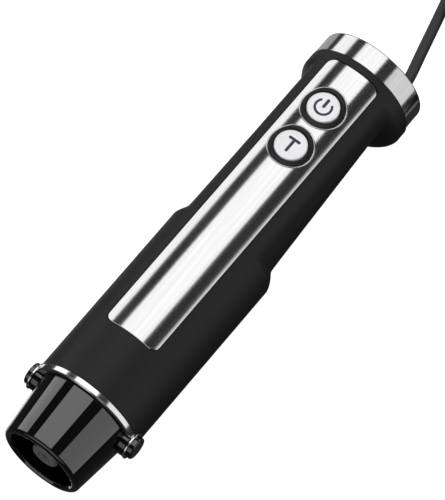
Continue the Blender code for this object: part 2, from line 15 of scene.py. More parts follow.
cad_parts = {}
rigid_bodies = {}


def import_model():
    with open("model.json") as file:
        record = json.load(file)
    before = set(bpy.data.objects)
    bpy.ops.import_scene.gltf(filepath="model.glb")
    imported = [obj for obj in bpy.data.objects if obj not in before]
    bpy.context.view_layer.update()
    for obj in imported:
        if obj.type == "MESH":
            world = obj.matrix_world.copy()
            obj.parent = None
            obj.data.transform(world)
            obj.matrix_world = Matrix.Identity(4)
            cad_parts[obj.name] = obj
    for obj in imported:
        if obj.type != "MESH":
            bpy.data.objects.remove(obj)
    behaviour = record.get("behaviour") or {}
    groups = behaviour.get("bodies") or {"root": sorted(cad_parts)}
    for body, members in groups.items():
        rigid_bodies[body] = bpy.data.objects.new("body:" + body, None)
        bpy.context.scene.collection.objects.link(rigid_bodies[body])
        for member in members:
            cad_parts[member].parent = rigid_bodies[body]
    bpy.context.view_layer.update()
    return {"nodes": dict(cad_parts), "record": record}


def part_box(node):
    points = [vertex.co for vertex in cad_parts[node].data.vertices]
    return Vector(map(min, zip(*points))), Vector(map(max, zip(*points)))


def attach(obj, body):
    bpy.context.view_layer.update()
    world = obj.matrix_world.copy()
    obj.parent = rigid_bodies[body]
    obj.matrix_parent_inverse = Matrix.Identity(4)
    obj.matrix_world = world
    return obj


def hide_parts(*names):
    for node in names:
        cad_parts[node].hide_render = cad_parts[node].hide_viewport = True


for leftover in list(bpy.data.objects):
    bpy.data.objects.remove(leftover)
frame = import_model()

# ---------------------------------------------------------------------------------------------- camera
# A long lens, far in front of the nose, to the right of the body and well above it, rolled a little.

MM = 0.001
MOUTH_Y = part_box("nose_collar")[0].y
AXIS_Z = sum(corner.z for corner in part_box("chrome_ring")) / 2


def in_frame(x, station, height):
    """Metres in the frame from millimetres on the body: y starts at the mouth and z at the long axis."""
    x, station, height = np.broadcast_arrays(x, station, height)
    return np.stack((x * MM, MOUTH_Y + station * MM, AXIS_Z + height * MM), axis=-1)


DISTANCE, AZIMUTH, ELEVATION, ROLL = 1.9605, *np.radians((36.54, 64.62, 1.42))
AIM = Vector(in_frame(0, 133.55, 0))
BACK = Vector((math.sin(AZIMUTH) * math.cos(ELEVATION), -math.cos(AZIMUTH) * math.cos(ELEVATION),
               math.sin(ELEVATION)))
camera = bpy.data.objects.new("camera", bpy.data.cameras.new("camera"))
bpy.context.scene.collection.objects.link(camera)
camera.data.lens = 307.5
camera.data.clip_end = 20
camera.location = AIM + BACK * DISTANCE
camera.rotation_mode = "QUATERNION"
camera.rotation_quaternion = (-BACK).to_track_quat("-Z", "Y") @ Quaternion((0, 0, 1), ROLL)
bpy.context.scene.camera = camera

# ---------------------------------------------------------------------------------------------- power cord
# Round two-core mains cord, 5.5 mm over an extruded PVC jacket. It drops from the strain relief to the
# table, and what is left of its length is wound there in two layers of three lanes.

CORD_RADIUS = 2.75
CORD_X, CORD_HEIGHT = 11.5, -12.0
LANE = 5.62  # from the middle of a turn to the middle of its neighbour
UNIT = "motor_unit"


def linear(colour):
    """sRGB hex to linear: c / 12.92 for a channel below 0.04045, else ((c + 0.055) / 1.055) to the power 2.4."""
    c = np.array([int(colour[k:k + 2], 16) / 255 for k in (1, 3, 5)])
    return (*np.where(c < 0.04045, c / 12.92, ((c + 0.055) / 1.055) ** 2.4), 1.0)


def add(material, kind, sockets=None, **settings):
    """Adds a node. Settings are its properties, sockets its inputs: each a value, or an output to link to it."""
    node = material.node_tree.nodes.new(kind)
    for name, value in settings.items():
        setattr(node, name, value)
    for name, value in (sockets or {}).items():
        if isinstance(value, bpy.types.NodeSocket):
            material.node_tree.links.new(value, node.inputs[name])
        else:
            node.inputs[name].default_value = value
    return node


def grained(name, dark, light, roughness, grain, relief, stretch=(1, 1, 1), **shader):
    """A material whose colour, roughness and height wander together: noise with features of grain millimetres,
    longer along an axis by stretch, and relief millimetres high. More inputs of the shader go in as words."""
    made = bpy.data.materials.new(name)
    made.use_nodes = True
    made.node_tree.nodes.clear()
    place = add(made, "ShaderNodeTexCoord").outputs["Object"]
    fine = add(made, "ShaderNodeMapping",
               {"Vector": place, "Scale": [1 / (grain * MM * longer) for longer in stretch]})
    noise = add(made, "ShaderNodeTexNoise", {"Vector": fine.outputs[0], "Scale": 1.0, "Detail": 3.0})
    colour = add(made, "ShaderNodeMix", {0: noise.outputs[0], 6: linear(dark), 7: linear(light)},
                 data_type="RGBA")
    rough = add(made, "ShaderNodeMapRange",
                {0: noise.outputs[0], 1: 0.3, 2: 0.7, 3: roughness[0], 4: roughness[1]})
    bump = add(made, "ShaderNodeBump", {"Height": noise.outputs[0], "Distance": relief * MM})
    inputs = {word.replace("_", " "): value for word, value in shader.items()}
    surface_shader = add(made, "ShaderNodeBsdfPrincipled", {
        "Base Color": colour.outputs[2], "Roughness": rough.outputs[0], "Normal": bump.outputs[0], **inputs})
    add(made, "ShaderNodeOutputMaterial", {0: surface_shader.outputs[0]})
    return made


def surface(name, grid, material, rows_close=False, body=UNIT, sharp=30):
    """Piece from a grid of points in metres, rows by columns: four neighbours make a face. Columns close on
    themselves. Rows do too, or their first and last are filled. Points that coincide are merged."""
    rows, columns = grid.shape[:2]
    index = np.arange(rows * columns).reshape(rows, columns)
    ahead = np.roll(index, -1, axis=0) if rows_close else index[1:]
    here = index if rows_close else index[:-1]
    quads = np.stack((here, np.roll(here, -1, 1), np.roll(ahead, -1, 1), ahead), axis=-1).reshape(-1, 4)
    faces = quads.tolist()
    if not rows_close:
        faces += [index[0, ::-1].tolist(), index[-1].tolist()]
    data = bpy.data.meshes.new(name)
    data.from_pydata(grid.reshape(-1, 3).tolist(), [], faces)
    work = bmesh.new()
    work.from_mesh(data)
    bmesh.ops.remove_doubles(work, verts=work.verts, dist=1e-7)
    bmesh.ops.dissolve_degenerate(work, edges=work.edges, dist=1e-8)
    if work.calc_volume(signed=True) < 0:
        bmesh.ops.reverse_faces(work, faces=work.faces)
    work.to_mesh(data)
    work.free()
    data.polygons.foreach_set("use_smooth", np.ones(len(data.polygons), bool))
    data.set_sharp_from_angle(angle=math.radians(sharp))
    data.materials.append(material)
    made = bpy.data.objects.new(name, data)
    bpy.context.scene.collection.objects.link(made)
    if body:
        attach(made, body)
    return made


def unit(vectors):
    """Each vector over its own length."""
    return vectors / np.linalg.norm(vectors, axis=-1, keepdims=True)


def swept(line, section):
    """Grid of a section carried along a line: at each point of the line the section's (across, up) pairs are laid
    out on the level direction square to the line, and on the direction square to both."""
    along = unit(np.gradient(line, axis=0))
    across = unit(np.cross(along, (0, 0, 1)))
    upward = np.cross(across, along)
    across, upward = across[:, None], upward[:, None]
    return line[:, None] + across * section[..., 0, None] + upward * section[..., 1, None]


def circle(radius, count):
    """Points of a circle: the radius times the cosine and the sine of count even angles."""
    angle = np.linspace(0, 2 * math.pi, count, endpoint=False)
    return np.stack((radius * np.cos(angle), radius * np.sin(angle)), axis=-1)


def ease(value, start, stop):
    """0 before start, 1 after stop and 3 s squared less 2 s cubed between, s being the share of the way."""
    share = np.clip((value - start) / (stop - start), 0, 1)
    return share * share * (3 - 2 * share)


def smooth_line(points, spacing):
    """Even points on the Catmull-Rom curve through points: between b and c, with a before and d after, it is half
    of 2b + (c - a) t + (2a - 5b + 4c - d) t squared + (3b - a - 3c + d) t cubed."""
    ends = np.vstack((2 * points[0] - points[1], points, 2 * points[-1] - points[-2]))
    a, b, c, d = (ends[k:len(ends) - 3 + k, None] for k in range(4))
    t = np.linspace(0, 1, 24, endpoint=False)[:, None]
    line = 0.5 * (2 * b + (c - a) * t + (2 * a - 5 * b + 4 * c - d) * t**2 + (3 * b - a - 3 * c + d) * t**3)
    line = np.vstack((line.reshape(-1, 3), points[-1:]))
    run = np.concatenate(([0], np.cumsum(np.linalg.norm(np.diff(line, axis=0), axis=1))))
    wanted = np.linspace(0, run[-1], int(run[-1] / spacing) + 1)
    return np.stack([np.interp(wanted, run, line[:, k]) for k in range(3)], axis=1), run[-1]


def span(node):
    """Lowest and highest corner of a CAD node, in millimetres on the body."""
    return tuple((np.array(corner) - (0, MOUTH_Y, AXIS_Z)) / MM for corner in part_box(node))


FLOOR = span("cord_tie")[0][2]
TABLE = FLOOR + CORD_RADIUS
drop = np.array([
    (CORD_X, 241.5, CORD_HEIGHT), (CORD_X, 250, CORD_HEIGHT), (CORD_X, 259, CORD_HEIGHT), (10.5, 265, -12.5),
    (8.8, 271, -13.9), (6.7, 278, -15.8), (4.2, 286.5, -18.3), (1.7, 295, -20.9), (-0.8, 303.5, TABLE + 2.1),
    (-3.4, 312.8, TABLE + 0.4), (-5.8, 320, TABLE), (-8.1, 327, TABLE),
])
coil_low, coil_high = span("cord_coil")
coil_x, coil_station = (coil_low + coil_high)[:2] / 2
coil_mean = (coil_high - coil_low)[0] / 2 - 1.5 * 2 * CORD_RADIUS
TURNS, COIL_START = 5.55, 198
turns = np.linspace(0, TURNS, 134)
lane = (ease(turns, 0.8, 1.0) + ease(turns, 1.8, 2.0) - ease(turns, 3.3, 3.55) - ease(turns, 4.3, 4.55))
coil_angle = np.radians(COIL_START - 360 * turns)
coil_radius = coil_mean + LANE * (1 - lane)
over_strap = np.exp(-((np.degrees(np.arccos(np.sin(coil_angle))) / 24) ** 2))
wound = np.stack((coil_x + coil_radius * np.cos(coil_angle), coil_station + coil_radius * np.sin(coil_angle),
                  TABLE + LANE * ease(turns, 2.55, 2.8) + 1.1 * over_strap), axis=-1)
PLUG_X, PLUG_NECK, PLUG_AXIS = 59.35, 319.0, FLOOR + 12.8
to_plug = np.array([(PLUG_X, 338, PLUG_AXIS - 3.7), (PLUG_X, 331, PLUG_AXIS - 2.1),
                    (PLUG_X, 325, PLUG_AXIS - 0.6), (PLUG_X, PLUG_NECK - 2, PLUG_AXIS)])
cord_line, cord_length = smooth_line(np.vstack((drop, wound, to_plug)), 2.0)

# PVC jacket: matt black with an even, slightly waxy sheen and faint drawing marks 0.4 mm apart.
cord_jacket = grained("extruded_pvc_jacket", "#252526", "#333334", (0.5, 0.65), 0.8, 0.03)
cord = surface("flexible_cord", in_frame(*swept(cord_line, circle(CORD_RADIUS, 20)).transpose(2, 0, 1)),
               cord_jacket)
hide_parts("power_cord", "cord_coil", "plug_lead")

# ---------------------------------------------------------------------------------------------- cord ends
# The strain relief is a ribbed rubber sleeve pushed through the top cap. The plug is moulded onto the cord
# in one shot of PVC round two nickelled pins, and a hook-and-loop strap holds the coil.


def rounded(corners, radii, steps=5):
    """Closed outline through corners with each one rounded: the arc of the given radius that touches both sides,
    turned step by step between its ends, with a close point on each side so that shading stays crisp."""
    corners, radii = np.asarray(corners, float), np.maximum(np.broadcast_to(radii, len(corners)), 0.01)[:, None]
    before, after = unit(np.roll(corners, 1, 0) - corners), unit(np.roll(corners, -1, 0) - corners)
    half = np.arccos(np.clip((before * after).sum(1, keepdims=True), -1, 1)) / 2
    half = np.clip(half, 0.02, math.pi / 2 - 0.002)
    reach = radii / np.tan(half)
    centre = corners + unit(before + after + 1e-9) * radii / np.sin(half)
    first, last = (corners + before * reach - centre) / radii, (corners + after * reach - centre) / radii
    turned_by = (math.pi - 2 * half)[:, None]
    t = np.linspace(0, 1, steps)[None, :, None]
    arc = (np.sin((1 - t) * turned_by) * first[:, None] + np.sin(t * turned_by) * last[:, None])
    arc = centre[:, None] + radii[:, None] * arc / np.sin(turned_by)
    near = np.minimum(0.35 * radii, 0.12)
    lead, trail = corners + before * (reach + near), corners + after * (reach + near)
    return np.concatenate((lead[:, None], arc, trail[:, None]), axis=1).reshape(-1, 2)


def turned(name, profile, material, axis="Y", centre=(0, 0, 0), segments=96, rows_close=True, **more):
    """Piece turned on a lathe: profile gives (place along the axis, radius), and each point goes round a circle
    about the centre. A profile with both ends on the axis is open, and the rows meet in its poles."""
    profile = np.asarray(profile, float)
    angle = np.linspace(0, 2 * math.pi, segments, endpoint=False)
    along, radius = np.broadcast_arrays(profile[:, :1], profile[:, 1:])
    along, radius = along + 0 * angle, radius + 0 * angle
    x, station, height = {
        "Y": (radius * np.sin(angle), along, radius * np.cos(angle)),
        "X": (along, radius * np.cos(angle), radius * np.sin(angle)),
        "Z": (radius * np.cos(angle), radius * np.sin(angle), along),
    }[axis]
    grid = in_frame(centre[0] + x, centre[1] + station, centre[2] + height)
    return surface(name, grid, material, rows_close, **more)


def lathe_to_axis(corners, radii, steps=5):
    """Open profile, from the axis round to the axis, of a solid piece: corners rounded as in an outline."""
    outline = rounded(corners, radii, steps)
    keep = outline[:, 1] > 1e-6
    return np.vstack(([corners[0][0], 0], outline[keep], [corners[-1][0], 0]))


# Strain relief rubber: matt, a little greyer than the cord where the mould's grain breaks the surface.
sleeve_rubber = grained("moulded_sleeve_rubber", "#141414", "#202021", (0.55, 0.7), 0.5, 0.03)
ribs = np.linspace(248.3, 257.6, 6)
rib_profile = [(236.4, 3.05), (236.4, 5.2), (239.3, 5.2), (239.3, 4.5), (247.2, 4.4)]
for rib in ribs[:-1]:
    rib_radius = 4.4 - 0.8 * (rib - 247) / 12
    rib_profile += [(rib, rib_radius), (rib + 0.25, rib_radius - 0.5), (rib + 0.85, rib_radius - 0.5),
                    (rib + 1.1, rib_radius - 0.05)]
rib_profile += [(259, 3.65), (259, 3.05)]
relief = turned("strain_relief_sleeve", rounded(rib_profile, 0.12, 3), sleeve_rubber, "Y",
                (CORD_X, 0, CORD_HEIGHT), 48)
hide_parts("strain_relief")

# Plug: glossy black PVC, with a squarish face that narrows to a round neck, and grip ribs on its sides. At each
# place x is half_width times the cosine, and height half_height times the sine, to the power corner: 0.5 is nearly
# a rectangle and 1 an ellipse. The ribs are a sine wave along the plug, where the cosine cubed is large.
plug_pvc = grained("moulded_plug_pvc", "#0f0f10", "#151516", (0.26, 0.34), 2.5, 0.003, Coat_Weight=0.15)
face = PLUG_NECK - 54
plug_stations = np.array([0, 0.25, 0.9, 20, 28, 34, 37, 39, 48, 53.4, 54])
plug_places = np.concatenate((np.linspace(0, 0.9, 7), np.linspace(1.4, 39, 64), np.linspace(41, 54, 18)))
half_width, half_height, corner = (smooth_line(np.stack((plug_stations, column, 0 * column), 1), 0.05)[0][:, :2]
                                   for column in (
    np.array([16.6, 17.4, 17.8, 17.8, 15.6, 11.0, 6.9, 5.5, 4.6, 4.2, 3.6]),
    np.array([11.6, 12.4, 12.8, 12.8, 11.2, 8.4, 6.6, 5.5, 4.6, 4.2, 3.6]),
    np.array([0.5, 0.5, 0.5, 0.5, 0.6, 0.8, 0.95, 1.0, 1.0, 1.0, 1.0])))
half_width, half_height, corner = (np.interp(plug_places, c[:, 0], c[:, 1])[:, None]
                                   for c in (half_width, half_height, corner))
around = np.linspace(0, 2 * math.pi, 96, endpoint=False) + 0.02
cosine, sine = np.cos(around), np.sin(around)
grip = (0.35 * np.sin((plug_places - 22) * 2 * math.pi / 2.4) * ease(plug_places, 21, 23)
        * (1 - ease(plug_places, 31, 33)))[:, None] * np.abs(cosine) ** 3
plug = surface("mains_plug", in_frame(
    PLUG_X + (half_width - np.abs(grip)) * np.sign(cosine) * np.abs(cosine) ** corner,
    face + plug_places[:, None] + 0 * around,
    PLUG_AXIS + half_height * np.sign(sine) * np.abs(sine) ** corner), plug_pvc, sharp=50)
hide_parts("plug_body")

# Nickel-plated brass: warm grey, satin bright, with faint rings from turning, 0.3 mm apart.
nickel_pin = grained("nickelled_brass", "#8f8d88", "#a3a19c", (0.3, 0.4), 0.3, 0.002, (6, 1, 6),
                     Metallic=1.0)
for side, word in ((-1, "left"), (1, "right")):
    pin = turned(f"plug_prong_{word}", lathe_to_axis(
        [(face - 19, 0), (face - 19, 2.4), (face + 0.3, 2.4), (face + 0.3, 0)], (0, 1.5, 0.05, 0), 8),
        nickel_pin, "Y", (PLUG_X + side * 9.5, 0, PLUG_AXIS), 40, rows_close=False)
    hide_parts(f"plug_pin_{word}")

# Strap: woven nylon with loops on it. Threads are 0.5 mm apart; drawn at 0.9 mm so that they show.
strap_cloth = grained("woven_hook_and_loop", "#19191b", "#303033", (0.8, 0.95), 0.9, 0.25, (1.8, 1, 1))
strap_low, strap_high = span("cord_tie")
OVERLAP = 15
strap_middle = (strap_low + strap_high) / 2
loop = rounded([(strap_low[1] + 0.9, FLOOR + 0.5), (strap_high[1] - 0.9, FLOOR + 0.5),
                (strap_high[1] - 0.9, FLOOR + 13.1), (strap_low[1] + 0.9, FLOOR + 13.1)], 2.6, 9)
loop = np.vstack((np.roll(loop, 14, 0), np.roll(loop, 14, 0)[:OVERLAP]))
outward = unit(np.gradient(loop, axis=0))[:, ::-1] * (1, -1)
loop_run = np.arange(len(loop)) / (len(loop) - OVERLAP)
loop = loop + outward * 1.0 * ease(loop_run, 0.86, 1.0)[:, None]
strip = rounded([(-4, -0.45), (4, -0.45), (4, 0.45), (-4, 0.45)], 0.25, 3)
strap = surface("cord_strap", in_frame(
    strap_middle[0] + strip[:, 0] + 0 * loop[:, :1],
    loop[:, :1] + outward[:, :1] * strip[:, 1], loop[:, 1:] + outward[:, 1:] * strip[:, 1]), strap_cloth)
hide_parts("cord_tie")

in_frame(*cord_line[0])
in_frame(*cord_line.T)

# ---------------------------------------------------------------------------------------------- main housing
# One injection-moulded ABS shell with a soft-touch coat: a round barrel that steps in to a slimmer grip behind a
# shoulder, and flares out again to meet the top band. The front is cut back for the panel and its buttons.

RADIUS = 28.0
BARREL_FROM = span("main_housing")[0][1] - 0.3
BARREL_TO = span("main_housing")[1][1]
WALL = 2.9
RELEASE_AT = (span("release_button_right")[0][1] + span("release_button_right")[1][1]) / 2
BUTTON_AT = {word: (span(f"{word}_button")[0][1] + span(f"{word}_button")[1][1]) / 2 for word in ("power", "turbo")}
BEZEL_HOLE = 11.1
NOTCH_RADIUS = 7.2


def grip_radius(angle, station):
    """Radius of the grip: an ellipse set forward of the axis, narrower and further forward towards the top, that
    gives way to the barrel's own round within 33 degrees of the front. It is where a ray from the axis meets the
    ellipse: with c and s the ray over its half depth and half width and k the shift over the half depth, the
    larger root of (c r - k) squared + (s r) squared = 1."""
    share = np.clip((station - 141) / 77, 0, 1)
    half_width, forward = 24.1 - 1.9 * share, 3.1 + 5.7 * share
    half_depth = RADIUS - forward
    s, c = np.sin(angle) / half_width, np.cos(angle) / half_depth
    shift = forward / half_depth
    ellipse = (c * shift + np.sqrt(c**2 + s**2 - (s * shift) ** 2)) / (c**2 + s**2)
    return RADIUS + (ellipse - RADIUS) * ease(np.degrees(np.abs(angle)), 33, 60)


def housing_radius(angle, station):
    """The largest of grip, shoulder and flare, blended where two cross: half of a + b + the root of (a - b)
    squared + 0.8 squared, and never more than the barrel's radius, to which the flare adds 0.6 mm low on each side.
    The shoulder falls off as the power 1.6 of the way past station 131, and the flare rises to its full radius as
    one less (1 - way) to the power 1.8."""
    turn = np.degrees(np.abs(angle))
    full = RADIUS + 0.6 * ease(turn, 80, 108) * (1 - ease(turn, 120, 165)) * ease(station, 214, 222)
    shoulder = RADIUS - 4.9 * np.clip((station - 131) / 8.6, 0, 3) ** 1.6
    rise = np.clip((station - 220.2) / 11.8, 0, 1)
    flare = np.where(rise > 0, 17 + (full - 17) * (1 - (1 - rise) ** 1.8), 0)
    largest = grip_radius(angle, station)
    for other in (shoulder, flare):
        largest = (largest + other + np.sqrt((largest - other) ** 2 + 0.64)) / 2
    return np.minimum(largest, full)


def carve(piece, cutter, operation="DIFFERENCE"):
    """Cuts a piece with a cutter, keeps the result as its mesh and throws the cutter away."""
    modifier = piece.modifiers.new("carve", "BOOLEAN")
    modifier.operation, modifier.object, modifier.solver = operation, cutter, "EXACT"
    carved = bpy.data.meshes.new_from_object(piece.evaluated_get(bpy.context.evaluated_depsgraph_get()))
    piece.modifiers.clear()
    piece.data = carved
    carved.polygons.foreach_set("use_smooth", np.ones(len(carved.polygons), bool))
    carved.set_sharp_from_angle(angle=math.radians(30))
    bpy.data.objects.remove(cutter)


def bore(name, low, high, radius, axis, centre, segments):
    """Cutter for a round hole: a plain cylinder about the axis through centre, from low to high along it."""
    return turned(name, [(low, 0), (low, radius), (high, radius), (high, 0)], None, axis, centre, segments, False,
                  body=None)


def barrel_height(x):
    """Height of the barrel's round front at x: the root of the radius squared less x squared."""
    return np.sqrt(RADIUS**2 - np.asarray(x) ** 2)


PANEL_LOW, PANEL_HIGH = span("front_panel")
PANEL_CORNER = 4.2
PANEL_GAP = 0.12
PANEL_SHEET = 0.8
RECESS_DEPTH = 1.1
SHELL_FROM, SHELL_TO = 60, 238


def panel_outline(inset):
    """Outline of the panel seen from the front, moved inwards by inset: four arcs of the corner's radius less inset,
    12 points each, and straight sides with 24 points each, as (x, station)."""
    half_width, half_length = PANEL_HIGH[0] - PANEL_CORNER, (PANEL_HIGH[1] - PANEL_LOW[1]) / 2 - PANEL_CORNER
    centre = (PANEL_LOW[1] + PANEL_HIGH[1]) / 2
    swing = np.linspace(0, math.pi / 2, 12)
    arcs = []
    for k, (side, end) in enumerate(((1, 1), (-1, 1), (-1, -1), (1, -1))):
        angle = swing + k * math.pi / 2
        arcs.append(np.stack((side * half_width + (PANEL_CORNER - inset) * np.cos(angle),
                              centre + end * half_length + (PANEL_CORNER - inset) * np.sin(angle)), axis=-1))
    share = np.linspace(0, 1, 26)[1:-1, None]
    return np.concatenate([np.concatenate((arc, arc[-1] + (after[0] - arc[-1]) * share))
                           for arc, after in zip(arcs, arcs[1:] + arcs[:1])])


def hole_outline(station, radius):
    """Outline of a round hole in the front, as (x, station): a circle about the middle line at a station."""
    angle = np.linspace(0, 2 * math.pi, 96, endpoint=False)
    return np.stack((radius * np.cos(angle), station + radius * np.sin(angle)), axis=-1)


def punch(name, outline, chamfer):
    """Cutter that follows an outline(inset): upright to a chamfer's depth below the barrel's front, then slanted
    in (or, for a hole, out) at 45 degrees to just above it, and upright again. Chamfer 0 is upright throughout."""
    over = 0.15
    levels = [(0, 8.0, False), (0, -abs(chamfer) - 1e-3, True), (chamfer + math.copysign(over, chamfer), over, True),
              (chamfer + math.copysign(over, chamfer), 40.0, False)]
    if not chamfer:
        levels = [(0, 8.0, False), (0, 40.0, False)]
    grid = []
    for inset, height, follows in levels:
        x, station = outline(inset).T
        grid.append(in_frame(x, station, barrel_height(x) + height if follows else height))
    return surface(name, np.stack(grid), None, body=None)


def slab(name, low, high, half_angle, start, stop, material, body):
    """Part of a round shell: arcs of two radii about the long axis, joined at their ends, carried along the body."""
    angle = np.radians(np.linspace(-half_angle, half_angle, 73))
    section = np.concatenate((np.stack((high * np.sin(angle), high * np.cos(angle)), -1),
                              np.stack((low * np.sin(angle), low * np.cos(angle)), -1)[::-1]))
    stations = np.linspace(start, stop, 88)[:, None]
    return surface(name, in_frame(section[:, 0] + 0 * stations, stations, section[:, 1] + 0 * stations), material,
                   body=body)


# Soft-touch coat: polyurethane lacquer over ABS. Very dark grey, with a broad dim sheen and the finest grain.
soft_touch = grained("soft_touch_lacquer", "#121212", "#161616", (0.5, 0.6), 0.35, 0.004,
                     Specular_IOR_Level=0.32)
RIM = 0.18
bend = np.radians(np.linspace(0, 90, 5))
along_out = np.concatenate((BARREL_FROM + RIM * (1 - np.cos(bend)), [BARREL_FROM + 0.7],
                            np.arange(37, 128, 2.5), np.arange(128, 146, 0.6), np.arange(146, 218, 2.0),
                            np.arange(218, 234, 0.6), [BARREL_TO - 2, BARREL_TO - 0.7],
                            BARREL_TO - RIM * (1 - np.cos(bend[::-1]))))
inset_out = np.concatenate((RIM * (1 - np.sin(bend)), np.zeros(len(along_out) - 10), RIM * (1 - np.sin(bend[::-1]))))
along_in = np.concatenate((along_out[-1:], np.linspace(BARREL_TO, BARREL_FROM, 40), along_out[:1]))
inset_in = np.concatenate(([WALL - 0.2], np.full(40, WALL), [WALL - 0.2]))
station = np.concatenate((along_out, along_in))[:, None]
inset = np.concatenate((inset_out, inset_in))[:, None]
angle = np.linspace(-math.pi, math.pi, 240, endpoint=False)
radius = housing_radius(angle, station) - inset
housing = surface("grip_housing", in_frame(radius * np.sin(angle), station, radius * np.cos(angle)), soft_touch,
                  rows_close=True)
recess = slab("recess", RADIUS - RECESS_DEPTH, RADIUS + 6, 40, SHELL_FROM, SHELL_TO, None, None)
carve(recess, punch("recess_outline", lambda inset: panel_outline(inset - PANEL_GAP), 0), "INTERSECT")
carve(housing, recess)
for button_station in BUTTON_AT.values():
    carve(housing, punch("button_hole", lambda inset: hole_outline(button_station, BEZEL_HOLE), 0))
for low, high in ((-32, -20), (20, 32)):
    carve(housing, bore("notch", low, high, NOTCH_RADIUS, "X", (0, RELEASE_AT, 0), 64))
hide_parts("main_housing")

# ---------------------------------------------------------------------------------------------- front panel
# Stainless sheet 0.8 mm thick, curved to the barrel, brushed lengthways and chamfered round its edge. It snaps
# into the recess and has a round hole for each button.


def brushed(name, dark, light, roughness, line, length, **shader):
    """Metal rubbed along the body: noise drawn out to length millimetres in strands line millimetres wide varies
    the colour, roughness and height, and a second noise four times as coarse gives uneven patches."""
    made = bpy.data.materials.new(name)
    made.use_nodes = True
    made.node_tree.nodes.clear()
    place = add(made, "ShaderNodeTexCoord").outputs["Object"]
    noises = []
    for width in (line, 4 * line):
        drawn = add(made, "ShaderNodeMapping",
                    {"Vector": place, "Scale": (1 / (width * MM), 1 / (length * MM), 1 / (width * MM))})
        noises.append(add(made, "ShaderNodeTexNoise", {"Vector": drawn.outputs[0], "Scale": 1.0, "Detail": 2.0,
                                                       "Roughness": 0.6}).outputs[0])
    both = add(made, "ShaderNodeMath", {0: noises[0], 1: noises[1]}, operation="ADD")
    spread = add(made, "ShaderNodeMapRange", {0: both.outputs[0], 1: 0.7, 2: 1.3, 3: 0.0, 4: 1.0}).outputs[0]
    colour = add(made, "ShaderNodeMix", {0: spread, 6: linear(dark), 7: linear(light)}, data_type="RGBA")
    rough = add(made, "ShaderNodeMapRange", {0: spread, 3: roughness[0], 4: roughness[1]})
    bump = add(made, "ShaderNodeBump", {"Height": noises[0], "Distance": 0.0003 * MM, "Strength": 1.0})
    shade = add(made, "ShaderNodeBsdfPrincipled", {
        "Base Color": colour.outputs[2], "Roughness": rough.outputs[0], "Normal": bump.outputs[0],
        "Metallic": 1.0, **shader})
    add(made, "ShaderNodeOutputMaterial", {0: shade.outputs[0]})
    return made


# Brushed stainless: cool light grey. Real brush lines are 0.05 mm apart; drawn at 0.3 mm so that they show.
brushed_steel = brushed("brushed_stainless", "#bfbfbf", "#cbcbcb", (0.12, 0.16), 0.3, 45)
panel = slab("brushed_front_panel", RADIUS - PANEL_SHEET, RADIUS, 38, SHELL_FROM, SHELL_TO, brushed_steel, UNIT)
carve(panel, punch("panel_edge", panel_outline, 0.45), "INTERSECT")
for button_station in BUTTON_AT.values():
    carve(panel, punch("panel_hole", lambda inset: hole_outline(button_station, BEZEL_HOLE - inset), -0.2))
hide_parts("front_panel")

# ---------------------------------------------------------------------------------------------- nose collar
# Gloss-black ABS cup, tapered and left as moulded from a polished tool. The blending leg pushes into its mouth,
# and the studs of the two release buttons slide through bores in its sides.

# Polished ABS under a clear coat: almost black, mirror smooth, with hairlines from handling.
gloss_black = grained("polished_black_abs", "#050505", "#080808", (0.02, 0.05), 6.0, 0.002, Coat_Weight=1.0,
                      Coat_Roughness=0.02)
collar_profile = rounded(
    [(0, 18.2), (0, 21.1), (31, 24.4), (48, 24.4), (48, 21.4), (25, 21.4), (25, 9.6), (38, 9.6), (38, 8.2),
     (22, 8.2), (22, 16.8), (1.0, 17.2)],
    (0.5, 2.0, 0.2, 0.2, 0.2, 0.3, 0.2, 0.2, 0.2, 0.4, 0.8, 0.5), 8)
collar = turned("nose_cup", collar_profile, gloss_black, segments=192)
STUD_BORE = 6.6
for low, high in ((-30, -13), (13, 30)):
    carve(collar, bore("bore", low, high, STUD_BORE, "X", (0, RELEASE_AT, 0), 72))
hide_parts("nose_collar")

# ---------------------------------------------------------------------------------------------- trim ring
# Chromed zinc ring between nose and housing. At each side it widens into an eye that guides a release button.

# Chrome: bright and faintly blue, with a mirror finish that softens a little with handling.
chrome = grained("bright_chrome", "#d5d6d8", "#dedfe0", (0.12, 0.17), 3.0, 0.001, Metallic=1.0)
RING_FROM, RING_TO = 31.2, BARREL_FROM - 0.1
EYE_RADIUS, EYE_HOLE, EYE_RELIEF, EYE_FROM, EYE_TO = 6.9, 5.9, 6.6, 27.3, 28.2
ring = turned("trim_ring", rounded(
    [(RING_FROM, 24.7), (RING_FROM, 27.2), (RING_FROM + 0.6, RADIUS), (RING_TO, RADIUS), (RING_TO, 24.7)],
    (0.2, 0.2, 0.2, 0.15, 0.2)), chrome, segments=240)
for side in (-1, 1):
    eye = turned("eye", lathe_to_axis([(side * EYE_FROM, 0), (side * EYE_FROM, EYE_RADIUS),
                                       (side * EYE_TO, EYE_RADIUS), (side * EYE_TO, 0)], (0, 0.2, 0.3, 0)),
                 None, "X", (0, RELEASE_AT, 0), 72, False, body=None)
    carve(ring, eye, "UNION")
    for low, high, cut in ((12, EYE_FROM, EYE_RELIEF), (20, 34, EYE_HOLE)):
        low, high = sorted((side * low, side * high))
        carve(ring, bore("cut", low, high, cut, "X", (0, RELEASE_AT, 0), 72))
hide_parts("chrome_ring")

# ---------------------------------------------------------------------------------------------- release buttons
# Gloss-black ABS buttons, one on each side. A wide stud slides in the nose, a step stops against the ring's eye,
# and a narrower cap comes out through the eye for a finger and thumb.

